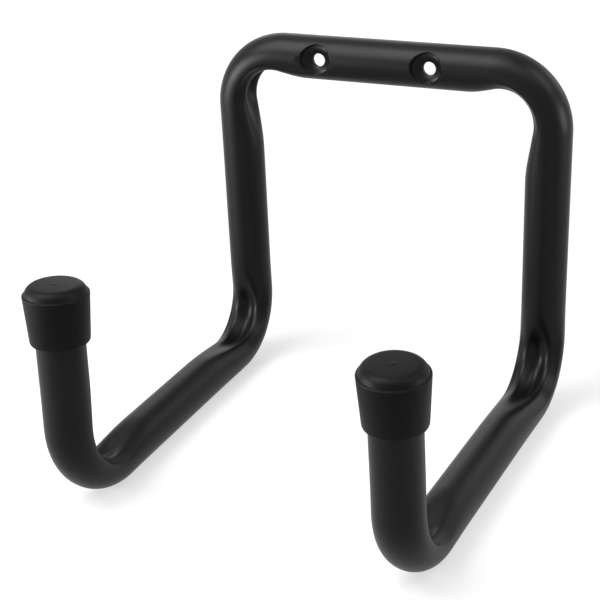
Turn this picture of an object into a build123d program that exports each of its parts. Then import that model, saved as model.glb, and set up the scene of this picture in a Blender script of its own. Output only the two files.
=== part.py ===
"""Double wall hook bent from one round steel tube, with a rubber cap on each tip.

Millimetres, +Z up. The hook stands on the undersides of its two arms, and the origin is at
the middle of the base of its box. +Y points to the wall, -Y to the room and the two tips.
"""

from build123d import *
import math
import os

# Tube
tube_diameter = 20.0
tube_wall = 1.5

# Centre line of the bent tube
frame_width = 151.8  # between the two legs
frame_height = 146.3  # from the arms up to the top bar
arm_length = 165.9  # from the legs to the corner of the front bend
arm_toe = 1.1  # degrees by which each arm runs inwards
top_bend_radius = 25.2
back_bend_radius = 25.9
front_bend_radius = 29.8
left_tip_lean = -2.2  # degrees, towards the wall
right_tip_lean = 3.3  # degrees, away from the wall
left_tip_length = 86.5  # from the arm up to the cut end of the tube
right_tip_length = 82.9

# Each bend is pressed in on its inner side, which leaves a groove between two lobes
press_depth = 7.0  # how far the lobes are pushed in
groove_depth = 1.8  # how far the groove lies behind the lobes
press_widening = 0.5  # how far each lobe swells sideways
shoulder_press = 0.56  # share of the depth that the shoulder beside a lobe is pushed in
shoulder_widening = 1.2  # share of the widening at the shoulder
shoulder_slope = 51.0  # degrees
lobe_fullness = 0.5  # share of the tube's radius
groove_width = 0.32  # share of the tube's radius
section_step = 6.0  # distance between the sections of a bend

# Where the pressing fades out along the straight runs
fade_on_bar = 12.0
fade_on_leg_below_bar = 23.0
fade_on_leg_above_arm = 16.0
fade_on_arm_behind = 34.0
fade_on_arm_ahead = 20.0
fade_on_tip = 20.0

# Screw holes in the top bar: a dimple pressed into the front wall, and a window behind it
hole_diameter = 6.0
hole_pitch = 53.6
hole_offset = -4.5  # the pair lies a little to the left of the middle
dimple_diameter = 14.4
dimple_angle = 90.0
dimple_rim_radius = 1.2  # the metal rolls over into the dimple
window_width = 21.0
window_height = 14.4
window_corner_radius = 3.5

# Rubber caps
cap_lower_diameter = 24.0
cap_upper_diameter = 26.7
cap_side_height = 20.9
cap_top_thickness = 2.9  # from the cut end of the tube up to the upper edge of the side
cap_crown_height = 3.5
cap_crown_diameter = 18.6
cap_lower_edge_radius = 1.1
cap_upper_edge_radius = 0.7
cap_crown_edge_radius = 2.0
cap_fit_clearance = 0.1
cap_pip_diameter = 1.8
cap_pip_height = 0.3

tube_radius = tube_diameter / 2
bore_radius = tube_radius - tube_wall
leg_x = frame_width / 2
bar_z = tube_radius + frame_height
arm_z = tube_radius

# Which way each side lies, how its tip leans and how long the tip is
left = (-1, left_tip_lean, left_tip_length)
right = (1, right_tip_lean, right_tip_length)

# The cap that leans forwards is the foremost point, and the tube's back the rearmost
cap_edge_height = right_tip_length + cap_top_thickness
forward_lean = math.radians(right_tip_lean)
front_reach = (
    arm_length * math.cos(math.radians(arm_toe))
    + cap_edge_height * math.sin(forward_lean)
    + cap_upper_diameter / 2 * math.cos(forward_lean)
)
rear_reach = tube_radius + press_widening
leg_y = (front_reach - rear_reach) / 2


def side_corners(side, lean, tip_length):
    """Corner points of the centre line from the middle of the bar to the tip on one side."""
    toe = math.radians(arm_toe)
    tilt = math.radians(lean)
    middle = Vector(0, leg_y, bar_z)
    top = Vector(side * leg_x, leg_y, bar_z)
    foot = Vector(side * leg_x, leg_y, arm_z)
    front = foot + Vector(-side * math.sin(toe), -math.cos(toe), 0) * arm_length
    tip = front + Vector(0, -math.sin(tilt), math.cos(tilt)) * tip_length
    return middle, top, foot, front, tip


def bend(before, corner, after, radius, fade_before, fade_after):
    """Measures of one bend: where it starts and ends, and a frame for each place along it."""
    ahead = (corner - before).normalized()
    onward = (after - corner).normalized()
    turn = math.radians(ahead.get_angle(onward))
    setback = radius * math.tan(turn / 2)
    inward = (onward - ahead * math.cos(turn)).normalized()
    arc_start = corner - ahead * setback
    centre = arc_start + inward * radius
    arc_end = corner + onward * setback
    half_arc = radius * turn / 2
    first = -half_arc - fade_before
    last = half_arc + fade_after

    def place(distance):
        """Point, direction and outward normal at a distance from the middle of the bend."""
        if distance <= -half_arc:
            return arc_start + ahead * (distance + half_arc), ahead, -inward
        if distance >= half_arc:
            away = (onward * math.cos(turn) - ahead).normalized()
            return arc_end + onward * (distance - half_arc), onward, -away
        angle = (distance + half_arc) / radius
        outward = -inward * math.cos(angle) + ahead * math.sin(angle)
        direction = ahead * math.cos(angle) + inward * math.sin(angle)
        return centre + outward * radius, direction, outward

    return first, last, place


def pressed_outline(radius, amount):
    """Control points of one half of the section, from its outer side round to its inner one.

    At amount 0 the three curves are a half circle. At 1 the inner side is flattened,
    widened and grooved.
    """

    def part_way(round_value, pressed_value):
        return round_value + (pressed_value - round_value) * amount

    half_width = part_way(radius, radius + press_widening)
    diagonal = radius * math.sqrt(0.5)
    quarter_handle = 4 / 3 * math.tan(math.pi / 8)
    eighth_handle = 4 / 3 * math.tan(math.pi / 16) * radius
    shoulder = Vector(
        part_way(-diagonal, shoulder_press * press_depth - diagonal),
        part_way(diagonal, diagonal + shoulder_widening * press_widening),
    )
    slope = math.radians(part_way(45, shoulder_slope))
    along = Vector(-math.cos(slope), -math.sin(slope))
    groove = Vector(part_way(-radius, press_depth + groove_depth - radius), 0)
    side = Vector(0, half_width)
    lobe_handle = part_way(eighth_handle, lobe_fullness * radius)
    groove_handle = part_way(eighth_handle, groove_width * radius)
    return (
        (
            Vector(radius, 0),
            Vector(radius, quarter_handle * half_width),
            Vector(quarter_handle * radius, half_width),
            side,
        ),
        (side, side - Vector(eighth_handle, 0), shoulder - along * eighth_handle, shoulder),
        (shoulder, shoulder + along * lobe_handle, groove + Vector(0, groove_handle), groove),
    )


def bend_piece(bend_run, radius):
    """Loft one bend through its sections, from round through pressed to round."""
    first, last, place = bend_run
    count = max(4, round((last - first) / section_step))
    with BuildPart() as piece:
        for index in range(count + 1):
            distance = first + (last - first) * index / count
            share = distance / last if distance > 0 else distance / first
            amount = math.cos(math.pi / 2 * share) ** 2
            point, direction, outward = place(distance)
            with BuildSketch(Plane(origin=point, x_dir=outward, z_dir=direction)):
                with BuildLine():
                    if index in (0, count):
                        for start, size in ((0, 90), (90, 45), (135, 45)):
                            CenterArc((0, 0), radius, start, size)
                    else:
                        for curve in pressed_outline(radius, amount):
                            Bezier(*curve)
                    mirror(about=Plane.XZ)
                make_face()
        loft()
    return piece.part


def straight_piece(frame, end, radius):
    """One round straight run from the end of a bend to a point."""
    start, direction, outward = frame
    with BuildPart() as piece:
        with BuildSketch(Plane(origin=start, x_dir=outward, z_dir=direction)):
            Circle(radius)
        extrude(amount=(end - start).length)
    return piece.part


def side_runs(side, lean, tip_length):
    """The three bends of one side."""
    middle, top, foot, front, tip = side_corners(side, lean, tip_length)
    return (
        bend(middle, top, foot, top_bend_radius, fade_on_bar, fade_on_leg_below_bar),
        bend(top, foot, front, back_bend_radius, fade_on_leg_above_arm, fade_on_arm_behind),
        bend(foot, front, tip, front_bend_radius, fade_on_arm_ahead, fade_on_tip),
    )


def ends(bend_run):
    """Point, direction and outward normal at both ends of a bend, its fades included."""
    first, last, place = bend_run
    return place(first), place(last)


# The dimple is a cone from the front face of the bar down to the hole
hole_places = [(hole_offset + end * hole_pitch / 2, bar_z) for end in (-1, 1)]
front_y = leg_y - tube_radius
dimple_slope = math.tan(math.radians(dimple_angle / 2))
dimple_depth = (dimple_diameter - hole_diameter) / 2 / dimple_slope
wall_offset = tube_wall / math.cos(math.radians(dimple_angle / 2))
overshoot = 2.0  # how far a cut starts outside the metal


def plane_behind_face(depth, place):
    """Plane across a hole's axis, at a depth behind the front face of the bar."""
    return Plane(origin=(place[0], front_y + depth, place[1]), x_dir=(1, 0, 0), z_dir=(0, 1, 0))


def dimple_cone(place, start_depth, end_depth, widen):
    """A stretch of the dimple's cone, made wider all round by a given amount."""
    with BuildPart() as cone:
        for depth in (start_depth, end_depth):
            radius = hole_diameter / 2 + (dimple_depth - depth) * dimple_slope + widen
            with BuildSketch(plane_behind_face(depth, place)):
                Circle(radius)
        loft()
    return cone.part


def dimpled_bar(radius, start_depth, end_depth, widen, rim_radius):
    """The straight run of the bar, a rod of the given radius with both dimples pushed in."""
    left_run, right_run = (side_runs(*side)[0] for side in (left, right))
    bar_start = ends(left_run)[0][0]
    bar_end = ends(right_run)[0][0]
    with BuildPart() as bar:
        with BuildSketch(Plane(origin=bar_start, x_dir=(0, 1, 0), z_dir=(1, 0, 0))):
            Circle(radius)
        extrude(amount=(bar_end - bar_start).length)
        for place in hole_places:
            add(dimple_cone(place, start_depth, end_depth, widen), mode=Mode.SUBTRACT)
            if rim_radius:
                rim = bar.edges(Select.LAST).filter_by(GeomType.CIRCLE, reverse=True)
                fillet(rim, rim_radius)
    return bar.part


def bent_rod(radius, bar):
    """The whole bent rod of the given radius round its bar: the tube's outside or its bore."""
    with BuildPart() as body:
        add(bar)
        for side in (left, right):
            runs = side_runs(*side)
            tip = side_corners(*side)[4]
            for run in runs:
                add(bend_piece(run, radius))
            top_run, back_run, front_run = (ends(run) for run in runs)
            add(straight_piece(top_run[1], back_run[0][0], radius))
            add(straight_piece(back_run[1], front_run[0][0], radius))
            add(straight_piece(front_run[1], tip, radius))
    return body.part


outer_bar = dimpled_bar(tube_radius, -overshoot, dimple_depth, 0, dimple_rim_radius)
bore_bar = dimpled_bar(bore_radius, 0, dimple_depth + tube_wall, wall_offset, 0)

with BuildPart() as bent_tube:
    add(bent_rod(tube_radius, outer_bar))
    add(bent_rod(bore_radius, bore_bar), mode=Mode.SUBTRACT)
    for place in hole_places:
        with BuildSketch(plane_behind_face(dimple_depth - overshoot, place)):
            Circle(hole_diameter / 2)
        extrude(amount=tube_radius - dimple_depth, mode=Mode.SUBTRACT)
        with BuildSketch(plane_behind_face(tube_radius + overshoot, place)):
            RectangleRounded(window_width, window_height, window_corner_radius)
        extrude(amount=tube_radius, mode=Mode.SUBTRACT)


def make_cap(side, lean, tip_length):
    """Cap turned about the tip's axis, with a blind bore that the tube's end fills."""
    _, _, _, front, tip = side_corners(side, lean, tip_length)
    axis = (tip - front).normalized()
    across = Vector(side, 0, 0)
    lower_edge = cap_top_thickness - cap_side_height
    fit_radius = tube_radius + cap_fit_clearance
    crown_z = cap_top_thickness + cap_crown_height
    lower_corner = Vector(cap_lower_diameter / 2, lower_edge)
    upper_corner = Vector(cap_upper_diameter / 2, cap_top_thickness)
    crown_corner = Vector(cap_crown_diameter / 2, crown_z)
    roundings = (
        (lower_corner, cap_lower_edge_radius),
        (upper_corner, cap_upper_edge_radius),
        (crown_corner, cap_crown_edge_radius),
    )
    profile_plane = Plane(origin=tip, x_dir=across, z_dir=across.cross(axis))
    with BuildPart() as cap:
        with BuildSketch(profile_plane) as profile:
            with BuildLine():
                Polyline(
                    (0, 0),
                    (fit_radius, 0),
                    (fit_radius, lower_edge),
                    lower_corner,
                    upper_corner,
                    crown_corner,
                    (cap_pip_diameter / 2, crown_z),
                    (cap_pip_diameter / 2, crown_z + cap_pip_height),
                    (0, crown_z + cap_pip_height),
                    close=True,
                )
            make_face()
            for corner, radius in roundings:
                fillet(profile.vertices().sort_by_distance(corner)[0], radius)
        revolve(axis=Axis(tip, axis))
    return cap.part


pieces = {
    "bent_tube": bent_tube.part,
    "cap_left": make_cap(*left),
    "cap_right": make_cap(*right),
}
os.makedirs("parts", exist_ok=True)
for name, piece in pieces.items():
    piece.label = name
    export_step(piece, f"parts/{name}.step")
    print(name, round(piece.volume), piece.bounding_box().size)
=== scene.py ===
import bpy
import math
import numpy as np
from mathutils import Matrix, Vector


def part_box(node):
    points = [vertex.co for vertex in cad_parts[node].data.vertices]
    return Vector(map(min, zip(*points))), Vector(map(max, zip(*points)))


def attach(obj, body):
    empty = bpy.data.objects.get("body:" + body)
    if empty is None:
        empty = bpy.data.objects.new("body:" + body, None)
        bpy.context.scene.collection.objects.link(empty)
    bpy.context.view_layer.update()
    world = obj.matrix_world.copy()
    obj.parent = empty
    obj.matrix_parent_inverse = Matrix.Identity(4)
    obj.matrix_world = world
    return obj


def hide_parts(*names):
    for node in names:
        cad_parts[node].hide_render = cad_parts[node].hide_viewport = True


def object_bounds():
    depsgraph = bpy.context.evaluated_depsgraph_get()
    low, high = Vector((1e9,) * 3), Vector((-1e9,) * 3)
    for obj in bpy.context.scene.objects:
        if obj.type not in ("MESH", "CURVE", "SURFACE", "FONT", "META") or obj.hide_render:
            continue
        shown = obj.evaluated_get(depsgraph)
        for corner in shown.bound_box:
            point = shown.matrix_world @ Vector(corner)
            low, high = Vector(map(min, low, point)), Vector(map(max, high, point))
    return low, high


# Satin black wall hook: one bent tube with a rubber cap on each tip. Metres throughout.

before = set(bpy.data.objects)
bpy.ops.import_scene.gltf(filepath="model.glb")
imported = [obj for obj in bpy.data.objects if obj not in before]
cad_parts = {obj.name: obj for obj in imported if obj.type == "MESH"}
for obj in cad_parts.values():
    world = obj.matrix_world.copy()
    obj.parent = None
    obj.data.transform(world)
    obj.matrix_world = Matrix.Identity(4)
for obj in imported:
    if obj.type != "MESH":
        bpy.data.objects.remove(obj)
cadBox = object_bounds()
print("frame loaded")


# Small helpers for node trees

def newMaterial(name):
    material = bpy.data.materials.new(name)
    material.use_nodes = True
    material.node_tree.nodes.clear()
    return material, material.node_tree.nodes, material.node_tree.links


def addNode(nodes, kind, **settings):
    # settings whose name is an input socket set its value, the others are node properties
    node = nodes.new(kind)
    for key, value in settings.items():
        if key in node.inputs:
            node.inputs[key].default_value = value
        else:
            setattr(node, key, value)
    return node


def noiseOnObject(nodes, links, coordinates, scale, detail=1.0):
    noise = addNode(nodes, "ShaderNodeTexNoise", Scale=scale, Detail=detail)
    links.new(coordinates.outputs["Object"], noise.inputs["Vector"])
    return noise


def remap(nodes, links, source, low, high, fromLow=0.3, fromHigh=0.7):
    # the usual range of a noise, unless another is given
    spread = addNode(nodes, "ShaderNodeMapRange")
    for socket, value in (("From Min", fromLow), ("From Max", fromHigh), ("To Min", low), ("To Max", high)):
        spread.inputs[socket].default_value = value
    links.new(source, spread.inputs["Value"])
    return spread


# Powder coat on the tube

powderCoat = {
    "colour": (0.0016, 0.0016, 0.0017),
    "colourWorn": (0.0024, 0.0024, 0.0025),
    "roughness": 0.38,
    "roughnessSpread": 0.03,
    "specular": 0.12,
    "cloudScale": 18.0,  # slow change of colour and gloss, per metre
    "peelScale": 650.0,  # orange peel
    "peelHeight": 0.00002,
    "grainScale": 3200.0,  # fine grain of the powder
    "grainHeight": 0.000004,
}

# Moulded rubber of the caps

capRubber = {
    "colour": (0.0020, 0.0020, 0.0020),
    "colourWorn": (0.0028, 0.0028, 0.0028),
    "roughness": 0.46,
    "roughnessSpread": 0.05,
    "specular": 0.065,
    "cloudScale": 18.0,
    "peelScale": 1400.0,
    "peelHeight": 0.000012,
    "grainScale": 5200.0,
    "grainHeight": 0.000004,
}


def makeCoat(name, values):
    material, nodes, links = newMaterial(name)
    output = addNode(nodes, "ShaderNodeOutputMaterial")
    shader = addNode(nodes, "ShaderNodeBsdfPrincipled")
    shader.inputs["Specular IOR Level"].default_value = values["specular"]
    place = addNode(nodes, "ShaderNodeTexCoord")
    cloudy = noiseOnObject(nodes, links, place, values["cloudScale"], detail=4.0)
    colour = addNode(nodes, "ShaderNodeMix", data_type="RGBA")
    colour.inputs["A"].default_value = (*values["colour"], 1)
    colour.inputs["B"].default_value = (*values["colourWorn"], 1)
    links.new(cloudy.outputs["Fac"], colour.inputs["Factor"])
    links.new(colour.outputs["Result"], shader.inputs["Base Color"])
    gloss = remap(nodes, links, cloudy.outputs["Fac"], values["roughness"] - values["roughnessSpread"],
                  values["roughness"] + values["roughnessSpread"])
    links.new(gloss.outputs["Result"], shader.inputs["Roughness"])
    peel = noiseOnObject(nodes, links, place, values["peelScale"])
    grain = noiseOnObject(nodes, links, place, values["grainScale"])
    peelBump = addNode(nodes, "ShaderNodeBump", Strength=1.0, Distance=values["peelHeight"])
    grainBump = addNode(nodes, "ShaderNodeBump", Strength=1.0, Distance=values["grainHeight"])
    links.new(peel.outputs["Fac"], peelBump.inputs["Height"])
    links.new(grain.outputs["Fac"], grainBump.inputs["Height"])
    links.new(peelBump.outputs["Normal"], grainBump.inputs["Normal"])
    links.new(grainBump.outputs["Normal"], shader.inputs["Normal"])
    links.new(shader.outputs["BSDF"], output.inputs["Surface"])
    return material


coatMaterial = makeCoat("satinPowderCoat", powderCoat)
rubberMaterial = makeCoat("mouldedRubber", capRubber)
print("materials", coatMaterial.name, rubberMaterial.name)


# Meshes from numpy grids

def unit(vector):
    return vector / np.linalg.norm(vector)


def turned(vector, axis, angle):
    # v cos a + (k x v) sin a + k (k.v)(1 - cos a), for one angle or an array of them
    angle = np.asarray(angle)[..., None]
    return (vector * np.cos(angle) + np.cross(axis, vector) * np.sin(angle)
            + axis * (axis @ vector) * (1 - np.cos(angle)))


def gridFaces(rows, columns, first=0):
    # quads between the rings of a grid that closes on itself across its columns
    index = first + np.arange(rows * columns).reshape(rows, columns)
    nextColumn = np.roll(index, -1, axis=1)
    corners = (index[:-1], nextColumn[:-1], nextColumn[1:], index[1:])
    return np.stack([corner.ravel() for corner in corners], axis=-1)


def ringFaces(outerFirst, innerFirst, columns):
    # flat ring between two circles of points, facing the way that the tube runs
    outer = outerFirst + np.arange(columns)
    inner = innerFirst + np.arange(columns)
    return np.stack([outer, np.roll(outer, -1), np.roll(inner, -1), inner], axis=-1)


def newPiece(name, points, faces, material=None):
    mesh = bpy.data.meshes.new(name)
    mesh.from_pydata(points, [], faces)
    if material:
        mesh.materials.append(material)
    piece = bpy.data.objects.new(name, mesh)
    bpy.context.collection.objects.link(piece)
    return piece


def finishPiece(piece, node, sharpFrom):
    # smooth but for real edges, then it rides and replaces its node
    piece.data.shade_smooth()
    piece.data.set_sharp_from_angle(angle=math.radians(sharpFrom))
    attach(piece, "root")
    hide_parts(node)
    piece.data.calc_loop_triangles()
    print(piece.name, "has", len(piece.data.loop_triangles), "triangles")


# The bent tube's centre line. Each side is told from its tip to the bar, -1 is left and 1 is right.

tube = {
    "radius": 0.0100,
    "wall": 0.0015,
    "width": 0.1518,  # between the legs
    "height": 0.1463,  # from the arms up to the bar
    "armLength": 0.1659,
    "armToe": 1.1,  # degrees inwards
    "tipLeans": {-1: -2.2, 1: 3.3},  # degrees away from the wall
    "tipLengths": {-1: 0.0865, 1: 0.0829},
    "bendRadii": (0.0298, 0.0259, 0.0252),  # front, back, top
    "fades": ((0.020, 0.020), (0.034, 0.016), (0.023, 0.012)),  # where the pressing runs out
}

# Mesh of the tube. Its steps along the path are for straight runs, bends and the dimples' surroundings.

tubeMesh = {
    "outside": (0.0060, 0.0016, 0.00033),
    "bore": (0.0120, 0.0045, 0.00080),
    "fineAngle": 58,  # degrees each side of the bar's front
    "fineStep": 2.0,  # degrees
    "coarseColumns": 74,  # round the rest
    "dimpleReach": 0.0095,  # of the finest rows, each side of a dimple's middle
    "holeCorners": 64,
    "quarterCorners": 9,  # in each rounded corner of a window
    "sharpFrom": 35,  # degrees
}

# The press mark on the inner side of every bend: two lobes with a groove between them

press = {
    "depth": 0.0070,  # how far the lobes are pushed in
    "groove": 0.0018,  # how far the groove lies behind the lobes
    "widening": 0.0005,  # how far the sides swell
    "shoulderPress": 0.56,  # share of the depth
    "shoulderWidening": 1.2,  # times the widening
    "shoulderSlope": 51.0,  # degrees
    "lobeFullness": 0.5,  # times the radius, as is the groove's width
    "grooveWidth": 0.32,
}

# Screw dimples in the front of the bar, with windows in the wall behind them

dimple = {
    "offsets": (-0.0313, 0.0223),  # from the middle of the bar
    "halfWidth": 0.0074,
    "halfHeight": 0.0067,
    "rise": 0.0006,  # of its opening above the middle of the bar
    "step": 0.0016,  # how far the punch cuts in before the cone begins
    "rim": 0.0009,  # how softly the metal rolls over into that step
    "depth": 0.0049,  # of the hole's edge behind the bar's face
    "flat": 0.44,  # share of the dimple that is level round the hole
    "boreGrowth": 0.0005,  # how much wider the dimple is inside the tube
    "edge": 1.3,  # share of the half width past which the skin stays as it is
    "holeRadius": 0.0030,
    "windowWidth": 0.0210,
    "windowHeight": 0.0144,
    "windowCorner": 0.0035,
    "windowStart": 0.0020,  # behind the bar's centre line
    "cutStart": 0.00245,  # of the hole's cutting block, behind the bar's face
    "cutEnd": 0.0250,  # of the window's cutting block, behind the bar's face
}

tubeHigh = Vector(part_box("bent_tube")[1])
legPlane = tubeHigh.y - tube["radius"] - press["widening"]  # the plane of the two legs
armHeight = tube["radius"]  # the arms lie on the floor
barHeight = armHeight + tube["height"]
print("legs' plane at", round(legPlane, 5))


# The tube's path: straight runs joined by arcs

def sideCorners(side):
    # tip, front corner, foot of the leg, top corner
    toe = math.radians(tube["armToe"])
    tilt = math.radians(tube["tipLeans"][side])
    top = np.array((side * tube["width"] / 2, legPlane, barHeight))
    foot = np.array((side * tube["width"] / 2, legPlane, armHeight))
    front = foot + np.array((-side * math.sin(toe), -math.cos(toe), 0)) * tube["armLength"]
    tip = front + np.array((0, -math.sin(tilt), math.cos(tilt))) * tube["tipLengths"][side]
    return [tip, front, foot, top]


def makePath(corners, radii, fades):
    # each bend keeps where it begins and ends, its centre and the axis that it turns about
    ahead = unit(corners[1] - corners[0])
    carried = unit(np.cross(ahead, (1, 0, 0)))
    path = {"start": corners[0], "ahead": ahead, "carried": carried, "bends": []}
    walked, here = 0.0, corners[0]
    for before, corner, after, radius, fade in zip(corners, corners[1:], corners[2:], radii, fades):
        ahead, onward = unit(corner - before), unit(after - corner)
        turn = math.acos(ahead @ onward)
        inward = unit(onward - ahead * math.cos(turn))
        setback = radius * math.tan(turn / 2)
        arcStart = corner - ahead * setback
        begins = walked + np.linalg.norm(arcStart - here)
        axis = np.cross(ahead, inward)
        # where the bend's outer side lies, as an angle from the carried direction
        phase = math.atan2(-inward @ np.cross(ahead, carried), -inward @ carried)
        path["bends"].append({
            "ahead": ahead, "outward": -inward, "axis": axis, "turn": turn, "radius": radius,
            "centre": arcStart + inward * radius, "begins": begins, "ends": begins + radius * turn,
            "carried": carried, "phase": phase, "fade": fade,
        })
        carried = turned(carried, axis, turn)
        walked = begins + radius * turn
        here = corner + onward * setback
    path["length"] = walked + np.linalg.norm(corners[-1] - here)
    return path


def centreLine(path, distance):
    # point, direction ahead and carried side direction: all three turn rigidly through each bend
    point = path["start"] + path["ahead"] * distance[:, None]
    ahead = np.tile(path["ahead"], (len(distance), 1))
    carried = np.tile(path["carried"], (len(distance), 1))
    for bend in path["bends"]:
        past = distance > bend["begins"]
        angle = np.clip((distance[past] - bend["begins"]) / bend["radius"], 0, bend["turn"])
        beyond = np.clip(distance[past] - bend["ends"], 0, None)[:, None]
        ahead[past] = turned(bend["ahead"], bend["axis"], angle)
        carried[past] = turned(bend["carried"], bend["axis"], angle)
        outward = turned(bend["outward"], bend["axis"], angle)
        point[past] = bend["centre"] + outward * bend["radius"] + ahead[past] * beyond
    return point, ahead, carried


def pressing(path, distance):
    # cosine squared of the way from the middle of a bend to the end of its fade
    amount = np.zeros_like(distance)
    phase = np.zeros_like(distance)
    for bend in path["bends"]:
        half = (bend["ends"] - bend["begins"]) / 2
        along = distance - bend["begins"] - half
        share = np.where(along < 0, -along / (half + bend["fade"][0]), along / (half + bend["fade"][1]))
        near = share < 1
        amount[near] = np.cos(np.pi / 2 * share[near]) ** 2
        phase[near] = bend["phase"]
    return amount, phase


def bezier(points, part):
    # cubic curve through its first and last point, pulled by the two between them
    part = part[..., None]
    back = 1 - part
    return (back ** 3 * points[0] + 3 * back ** 2 * part * points[1]
            + 3 * back * part ** 2 * points[2] + part ** 3 * points[3])


def pressedOutline(angle, radius):
    # three cubic curves a side: round outer quarter, side to shoulder, over the lobe into the groove
    eighth = math.pi / 4
    quarterHandle = 4 / 3 * math.tan(math.pi / 8)
    eighthHandle = 4 / 3 * math.tan(math.pi / 16) * radius
    diagonal = radius * math.sqrt(0.5)
    halfWidth = radius + press["widening"]
    slope = math.radians(press["shoulderSlope"])
    downSlope = np.array((-math.cos(slope), -math.sin(slope)))
    side = np.array((0, halfWidth))
    shoulder = np.array((press["shoulderPress"] * press["depth"] - diagonal,
                         press["shoulderWidening"] * press["widening"] + diagonal))
    groove = np.array((press["depth"] + press["groove"] - radius, 0))
    outerCurve = ((radius, 0), (radius, quarterHandle * halfWidth),
                  (quarterHandle * radius, halfWidth), side)
    sideCurve = (side, side - (eighthHandle, 0), shoulder - downSlope * eighthHandle, shoulder)
    lobeCurve = (shoulder, shoulder + downSlope * press["lobeFullness"] * radius,
                 groove + (0, press["grooveWidth"] * radius), groove)
    eighths = np.abs(angle) / eighth
    outline = bezier(np.array(outerCurve), np.clip(eighths / 2, 0, 1))
    for number, curve in ((2, sideCurve), (3, lobeCurve)):
        onCurve = bezier(np.array(curve), np.clip(eighths - number, 0, 1))
        outline = np.where(eighths[..., None] > number, onCurve, outline)
    outline[..., 1] *= np.sign(angle)
    return outline


def tubeSkin(path, distance, angle, radius):
    # centre line + a circle mixed with the pressed outline, carried along without twist
    point, ahead, carried = centreLine(path, distance)
    sideways = np.cross(ahead, carried)
    amount, phase = (values[:, None] for values in pressing(path, distance))
    outward = carried * np.cos(phase) + sideways * np.sin(phase)
    across = np.cross(ahead, outward)
    fromOutward = (angle - phase + np.pi) % (2 * np.pi) - np.pi
    circle = radius * np.stack([np.cos(fromOutward), np.sin(fromOutward)], axis=-1)
    outline = circle + (pressedOutline(fromOutward, radius) - circle) * amount[..., None]
    return point[:, None] + outward[:, None] * outline[..., :1] + across[:, None] * outline[..., 1:]


def pushDimples(skin, growth):
    # added depth = (step + (depth - cylinder - step) * way in from the rim) * soft rim
    for offset in dimple["offsets"]:
        height = skin[..., 2] - barHeight
        share = np.hypot((skin[..., 0] - offset) / (dimple["halfWidth"] + growth),
                         (height - dimple["rise"]) / (dimple["halfHeight"] + growth))
        front = skin[..., 1] < legPlane
        near = front & (share < dimple["edge"])
        share, height = share[near], height[near]
        cylinder = tube["radius"] - np.sqrt(tube["radius"] ** 2 - height ** 2)
        way = np.clip((1 - share) / (1 - dimple["flat"]), 0, 1)
        inside = np.clip((1 - share) * dimple["halfWidth"] / dimple["rim"] + 0.5, 0, 1)
        inside = inside ** 2 * (3 - 2 * inside)
        skin[near, 1] += (dimple["step"] + (dimple["depth"] - cylinder - dimple["step"]) * way) * inside


def rowPlaces(path, dimpleMiddles, steps):
    # distances along the path, closer together in bends and closest round the dimples
    straight, bent, fine = steps
    stretches = [(bend["begins"] - bend["fade"][0], bend["ends"] + bend["fade"][1], bent)
                 for bend in path["bends"]]
    reach = tubeMesh["dimpleReach"]
    stretches += [(middle - reach, middle + reach, fine) for middle in dimpleMiddles]
    rows, here = [], 0.0
    for start, end, step in sorted(stretches) + [(path["length"], path["length"], straight)]:
        if start > here:
            rows.append(np.linspace(here, start, math.ceil((start - here) / straight), endpoint=False))
            here = start
        rows.append(np.linspace(here, end, math.ceil((end - here) / step), endpoint=False))
        here = end
    return np.append(np.concatenate(rows), path["length"])


def ringAngles(middle):
    # ring angles, finer on the side that carries the dimples
    edge = tubeMesh["fineAngle"]
    fine = np.arange(-edge, edge, tubeMesh["fineStep"])
    coarse = np.linspace(edge, 360 - edge, tubeMesh["coarseColumns"], endpoint=False)
    return middle + np.radians(np.concatenate([fine, coarse]))


def block(outline, start, end):
    # closed block with a flat outline in X and Z, from one depth behind the bar's face to another
    face = legPlane - tube["radius"]
    count = len(outline)
    points = [(x, face + depth, z) for depth in (start, end) for x, z in outline]
    walls = [(i, count + i, count + (i + 1) % count, (i + 1) % count) for i in range(count)]
    return points, walls + [tuple(range(count)), tuple(reversed(range(count, 2 * count)))]


def roundedRectangle(middle, width, height, radius):
    # four quarter circles, counted from the upper right one
    quarter = np.linspace(0, np.pi / 2, tubeMesh["quarterCorners"])
    points = []
    for number, (right, up) in enumerate(((1, 1), (-1, 1), (-1, -1), (1, -1))):
        x = middle[0] + right * (width / 2 - radius) + radius * np.cos(quarter + number * np.pi / 2)
        z = middle[1] + up * (height / 2 - radius) + radius * np.sin(quarter + number * np.pi / 2)
        points += zip(x, z)
    return points


def cutAway(piece, blocks):
    # one Boolean with all the cutting blocks in one mesh
    points, faces = [], []
    for blockPoints, blockFaces in blocks:
        faces += [tuple(len(points) + corner for corner in face) for face in blockFaces]
        points += blockPoints
    cutter = newPiece("cutter", points, faces)
    modifier = piece.modifiers.new("cut", "BOOLEAN")
    modifier.operation = "DIFFERENCE"
    modifier.solver = "EXACT"
    modifier.object = cutter
    cutPiece = piece.evaluated_get(bpy.context.evaluated_depsgraph_get())
    cutMesh = bpy.data.meshes.new_from_object(cutPiece)
    piece.modifiers.clear()
    piece.data = cutMesh
    bpy.data.objects.remove(cutter)


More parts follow.
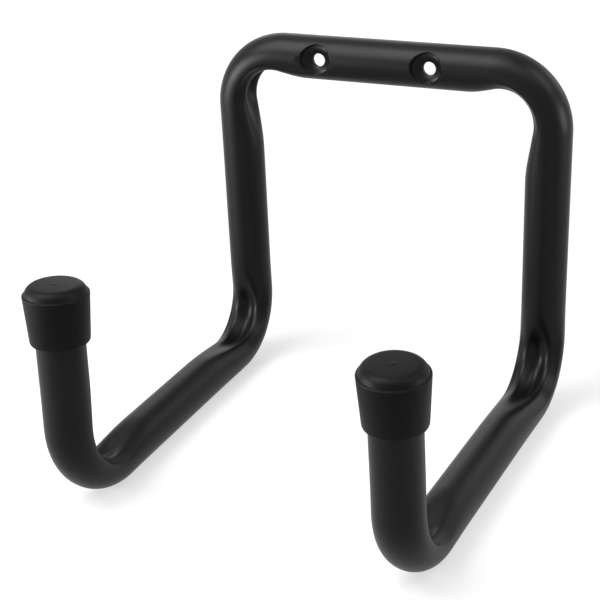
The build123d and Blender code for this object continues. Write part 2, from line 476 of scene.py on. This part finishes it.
def makeTube(material):
    corners = sideCorners(-1) + sideCorners(1)[::-1]
    radii = tube["bendRadii"] + tube["bendRadii"][::-1]
    fades = tube["fades"] + tuple(fade[::-1] for fade in tube["fades"][::-1])
    path = makePath(corners, radii, fades)

    # where the dimples lie along the path, and the ring angle of the bar's front
    barStart = path["bends"][2]["ends"]
    point, ahead, carried = (values[0] for values in centreLine(path, np.array([barStart])))
    middles = [barStart - point[0] + offset for offset in dimple["offsets"]]
    angles = ringAngles(math.atan2(-np.cross(ahead, carried)[1], -carried[1]))

    outside = tubeSkin(path, rowPlaces(path, middles, tubeMesh["outside"]), angles, tube["radius"])
    pushDimples(outside, 0)
    bore = tubeSkin(path, rowPlaces(path, middles, tubeMesh["bore"]), angles, tube["radius"] - tube["wall"])
    pushDimples(bore, dimple["boreGrowth"])

    count = len(angles)
    boreFirst = outside.shape[0] * count
    boreLast = boreFirst + (bore.shape[0] - 1) * count
    faces = np.concatenate([
        gridFaces(outside.shape[0], count),
        gridFaces(bore.shape[0], count, boreFirst)[:, ::-1],
        ringFaces(0, boreFirst, count)[:, ::-1],
        ringFaces(boreFirst - count, boreLast, count),
    ])
    points = np.concatenate([outside.reshape(-1, 3), bore.reshape(-1, 3)])
    piece = newPiece("formedTube", points, faces.tolist(), material)

    blocks = []
    circle = np.linspace(0, 2 * np.pi, tubeMesh["holeCorners"], endpoint=False)
    for offset in dimple["offsets"]:
        hole = list(zip(offset + dimple["holeRadius"] * np.cos(circle),
                        barHeight + dimple["holeRadius"] * np.sin(circle)))
        window = roundedRectangle((offset, barHeight), dimple["windowWidth"], dimple["windowHeight"],
                                  dimple["windowCorner"])
        blocks.append(block(hole, dimple["cutStart"], tube["radius"]))
        blocks.append(block(window, tube["radius"] + dimple["windowStart"], dimple["cutEnd"]))
    cutAway(piece, blocks)
    finishPiece(piece, "bent_tube", tubeMesh["sharpFrom"])


makeTube(coatMaterial)
print("tube made")


# Rubber caps, turned about the axis of each tip

cap = {
    "lowerRadius": 0.0120,
    "upperRadius": 0.01335,
    "sideHeight": 0.0209,
    "topThickness": 0.0029,  # from the tube's end up to the upper edge of the side
    "crownHeight": 0.0035,
    "crownRadius": 0.0112,  # where the crown's side would meet its top
    "lowerRounding": 0.0014,
    "upperRounding": 0.0006,
    "valleyWidth": 0.0008,  # the step between the bead of the side and the crown
    "valleyDepth": 0.0001,
    "valleyRounding": 0.0003,
    "crownRounding": 0.0039,
    "clearance": 0.0001,
    "pipRadius": 0.0015,  # moulding pip in the middle of the crown
    "pipTop": 0.0006,
    "pipHeight": 0.00012,
    "pipRounding": 0.0010,
    "ring": 144,  # columns of the mesh
    "arcSteps": 8,  # points in each rounded corner
    "sharpFrom": 40,  # degrees
}


def roundedRun(corners, steps):
    # corners are (radius, height, rounding); an arc replaces each corner that has a rounding:
    # point = centre + (first sin((1 - t) sweep) + last sin(t sweep)) / sin(sweep), for t from 0 to 1
    run = []
    for before, corner, after in zip(corners, corners[1:], corners[2:]):
        here = np.array(corner[:2])
        back, onward = unit(np.array(before[:2]) - here), unit(np.array(after[:2]) - here)
        if not corner[2]:
            run.append(here[None])
            continue
        half = math.acos(back @ onward) / 2
        centre = here + unit(back + onward) * corner[2] / math.sin(half)
        first = here + back * corner[2] / math.tan(half) - centre
        last = here + onward * corner[2] / math.tan(half) - centre
        sweep = np.pi - 2 * half
        part = np.linspace(0, 1, steps)[:, None]
        arc = np.sin((1 - part) * sweep) * first + np.sin(part * sweep) * last
        run.append(centre + arc / math.sin(sweep))
    return np.concatenate([np.array(corners[0][:2])[None], *run, np.array(corners[-1][:2])[None]])


def makeCap(name, side, node, material):
    tip, front = sideCorners(side)[:2]
    axis = unit(tip - front)
    right = unit(np.cross((0, 1, 0), axis))
    fit = tube["radius"] + cap["clearance"]
    lowerEdge = cap["topThickness"] - cap["sideHeight"]
    crown = cap["topThickness"] + cap["crownHeight"]
    valleyRadius = cap["upperRadius"] - cap["valleyWidth"]
    profile = roundedRun((
        (0, 0, 0),
        (fit, 0, 0),
        (fit, lowerEdge, 0),
        (cap["lowerRadius"], lowerEdge, cap["lowerRounding"]),
        (cap["upperRadius"], cap["topThickness"], cap["upperRounding"]),
        (valleyRadius, cap["topThickness"] - cap["valleyDepth"], cap["valleyRounding"]),
        (cap["crownRadius"], crown, cap["crownRounding"]),
        (cap["pipRadius"], crown, cap["pipRounding"]),
        (cap["pipTop"], crown + cap["pipHeight"], cap["pipRounding"]),
        (0, crown + cap["pipHeight"], 0),
    ), cap["arcSteps"])
    # point = tip + axis * height + (right cos a + forward sin a) * radius
    angle = np.linspace(0, 2 * np.pi, cap["ring"], endpoint=False)[:, None]
    spokes = right * np.cos(angle) + np.cross(axis, right) * np.sin(angle)
    rings = profile[1:-1]
    skin = tip + axis * rings[:, 1, None, None] + spokes * rings[:, 0, None, None]
    poles = tip + axis * profile[[0, -1], 1][:, None]
    points = np.concatenate([skin.reshape(-1, 3), poles])
    count = len(angle)
    firstPole = len(points) - 2
    lastRing = firstPole - count
    start = [(firstPole, (i + 1) % count, i) for i in range(count)]
    end = [(firstPole + 1, lastRing + i, lastRing + (i + 1) % count) for i in range(count)]
    faces = gridFaces(len(rings), count).tolist() + start + end
    piece = newPiece(name, points, faces, material)
    finishPiece(piece, node, cap["sharpFrom"])


makeCap("tipCapLeft", -1, "cap_left", rubberMaterial)
makeCap("tipCapRight", 1, "cap_right", rubberMaterial)
print("caps made")


# Floor: a white sheet that keeps the soft contact shadow

floorSheet = {
    "reach": 12.0,  # half of its side
    "colour": (0.32, 0.32, 0.32, 1),
    "glow": 0.56,  # white of the sheet itself, seen by the camera and in reflections
    "farGlow": 1.0,  # the same where the lamps no longer reach
    "near": 0.35,  # from the middle to where the glow begins to rise
    "far": 1.10,  # to where it is full
}


def seenDirectly(nodes, links):
    # 1 for camera, glossy and transmission rays, 0 for the rays that light the object
    path = addNode(nodes, "ShaderNodeLightPath")
    first = addNode(nodes, "ShaderNodeMath", operation="MAXIMUM")
    links.new(path.outputs["Is Camera Ray"], first.inputs[0])
    links.new(path.outputs["Is Glossy Ray"], first.inputs[1])
    second = addNode(nodes, "ShaderNodeMath", operation="MAXIMUM")
    links.new(first.outputs[0], second.inputs[0])
    links.new(path.outputs["Is Transmission Ray"], second.inputs[1])
    return second


def makeFloor(values):
    material, nodes, links = newMaterial("whiteSheet")
    output = addNode(nodes, "ShaderNodeOutputMaterial")
    matt = addNode(nodes, "ShaderNodeBsdfDiffuse", Color=values["colour"])
    glow = addNode(nodes, "ShaderNodeEmission")
    strength = addNode(nodes, "ShaderNodeMath", operation="MULTIPLY")
    place = addNode(nodes, "ShaderNodeTexCoord")
    away = addNode(nodes, "ShaderNodeVectorMath", operation="LENGTH")
    links.new(place.outputs["Object"], away.inputs[0])
    rising = remap(nodes, links, away.outputs["Value"], values["glow"], values["farGlow"],
                   values["near"], values["far"])
    links.new(seenDirectly(nodes, links).outputs[0], strength.inputs[0])
    links.new(rising.outputs["Result"], strength.inputs[1])
    links.new(strength.outputs[0], glow.inputs["Strength"])
    both = addNode(nodes, "ShaderNodeAddShader")
    links.new(matt.outputs["BSDF"], both.inputs[0])
    links.new(glow.outputs["Emission"], both.inputs[1])
    links.new(both.outputs["Shader"], output.inputs["Surface"])
    reach = values["reach"]
    corners = [(-reach, -reach, 0), (reach, -reach, 0), (reach, reach, 0), (-reach, reach, 0)]
    newPiece("floor", corners, [(0, 1, 2, 3)], material)


makeFloor(floorSheet)


# World: a little light from all round, white where it is seen

studio = {
    "light": 0.12,  # on the object
    "white": 1.0,  # seen by the camera and in reflections
}


def makeWorld(values):
    world = bpy.data.worlds.new("studio")
    world.use_nodes = True
    nodes, links = world.node_tree.nodes, world.node_tree.links
    nodes.clear()
    output = addNode(nodes, "ShaderNodeOutputWorld")
    background = addNode(nodes, "ShaderNodeBackground", Color=(1, 1, 1, 1))
    seen = seenDirectly(nodes, links)
    strength = remap(nodes, links, seen.outputs[0], values["light"], values["white"], 0, 1)
    links.new(strength.outputs["Result"], background.inputs["Strength"])
    links.new(background.outputs["Background"], output.inputs["Surface"])
    bpy.context.scene.world = world


makeWorld(studio)


# Soft boxes. Azimuth 0 stands on the room side, positive to the right; brightness is radiance.

softBoxes = (
    {"name": "keyBox", "azimuth": -48, "elevation": 54, "distance": 0.95,
     "size": (0.66, 0.66), "brightness": 9.5},
    {"name": "topBox", "azimuth": -70, "elevation": 79, "distance": 0.95,
     "size": (0.50, 0.50), "brightness": 3.5},
    {"name": "frontBox", "azimuth": 30, "elevation": 62, "distance": 1.00,
     "size": (0.50, 0.50), "brightness": 2.5},
    {"name": "sideBox", "azimuth": 98, "elevation": 48, "distance": 1.00,
     "size": (0.50, 0.50), "brightness": 5.0},
    {"name": "leftBox", "azimuth": -56, "elevation": 3, "distance": 0.90,
     "size": (0.52, 0.42), "brightness": 21.0},
    {"name": "rightBox", "azimuth": 100, "elevation": 4, "distance": 1.00,
     "size": (0.45, 0.42), "brightness": 10.0},
    {"name": "backLeftBox", "azimuth": -150, "elevation": 20, "distance": 1.10,
     "size": (0.45, 0.40), "brightness": 1.5},
    {"name": "backRightBox", "azimuth": 150, "elevation": 20, "distance": 1.10,
     "size": (0.45, 0.40), "brightness": 1.5},
)


def makeSoftBox(values, middle):
    azimuth = math.radians(values["azimuth"])
    elevation = math.radians(values["elevation"])
    away = Vector((math.sin(azimuth) * math.cos(elevation), -math.cos(azimuth) * math.cos(elevation),
                   math.sin(elevation)))
    width, height = values["size"]
    lamp = bpy.data.lights.new(values["name"], "AREA")
    lamp.shape = "RECTANGLE"
    lamp.size = width
    lamp.size_y = height
    lamp.energy = values["brightness"] * math.pi * width * height
    box = bpy.data.objects.new(values["name"], lamp)
    box.location = middle + away * values["distance"]
    box.rotation_euler = away.to_track_quat("Z", "Y").to_euler()
    box.visible_camera = False
    bpy.context.collection.objects.link(box)


objectMiddle = (Vector(cadBox[0]) + Vector(cadBox[1])) / 2
for values in softBoxes:
    makeSoftBox(values, objectMiddle)
print("lights", [values["name"] for values in softBoxes])


# Camera, from the photograph

view = {
    "place": (0.22931, -0.54501, 0.29471),  # from the middle of the legs' plane, at the arms' height
    "azimuth": 27.051,
    "elevation": 24.050,
    "roll": -2.568,
    "lens": 80.103,
    "sensor": 36.0,
    "clipStart": 0.01,
}


def makeCamera(values):
    azimuth = math.radians(values["azimuth"])
    elevation = math.radians(values["elevation"])
    roll = math.radians(values["roll"])
    ahead = Vector((-math.sin(azimuth) * math.cos(elevation), math.cos(azimuth) * math.cos(elevation),
                    -math.sin(elevation)))
    right = Vector((math.cos(azimuth), math.sin(azimuth), 0))
    up = right.cross(ahead)
    turnedRight = right * math.cos(roll) + up * math.sin(roll)
    turnedUp = up * math.cos(roll) - right * math.sin(roll)
    data = bpy.data.cameras.new("camera")
    data.lens = values["lens"]
    data.sensor_width = values["sensor"]
    data.clip_start = values["clipStart"]
    camera = bpy.data.objects.new("camera", data)
    turn = Matrix((turnedRight, turnedUp, -ahead)).transposed().to_4x4()
    place = Vector(values["place"]) + Vector((0, legPlane, armHeight))
    camera.matrix_world = Matrix.Translation(place) @ turn
    bpy.context.collection.objects.link(camera)
    bpy.context.scene.camera = camera


makeCamera(view)
bpy.context.scene.view_settings.view_transform = "Standard"
print("camera set")
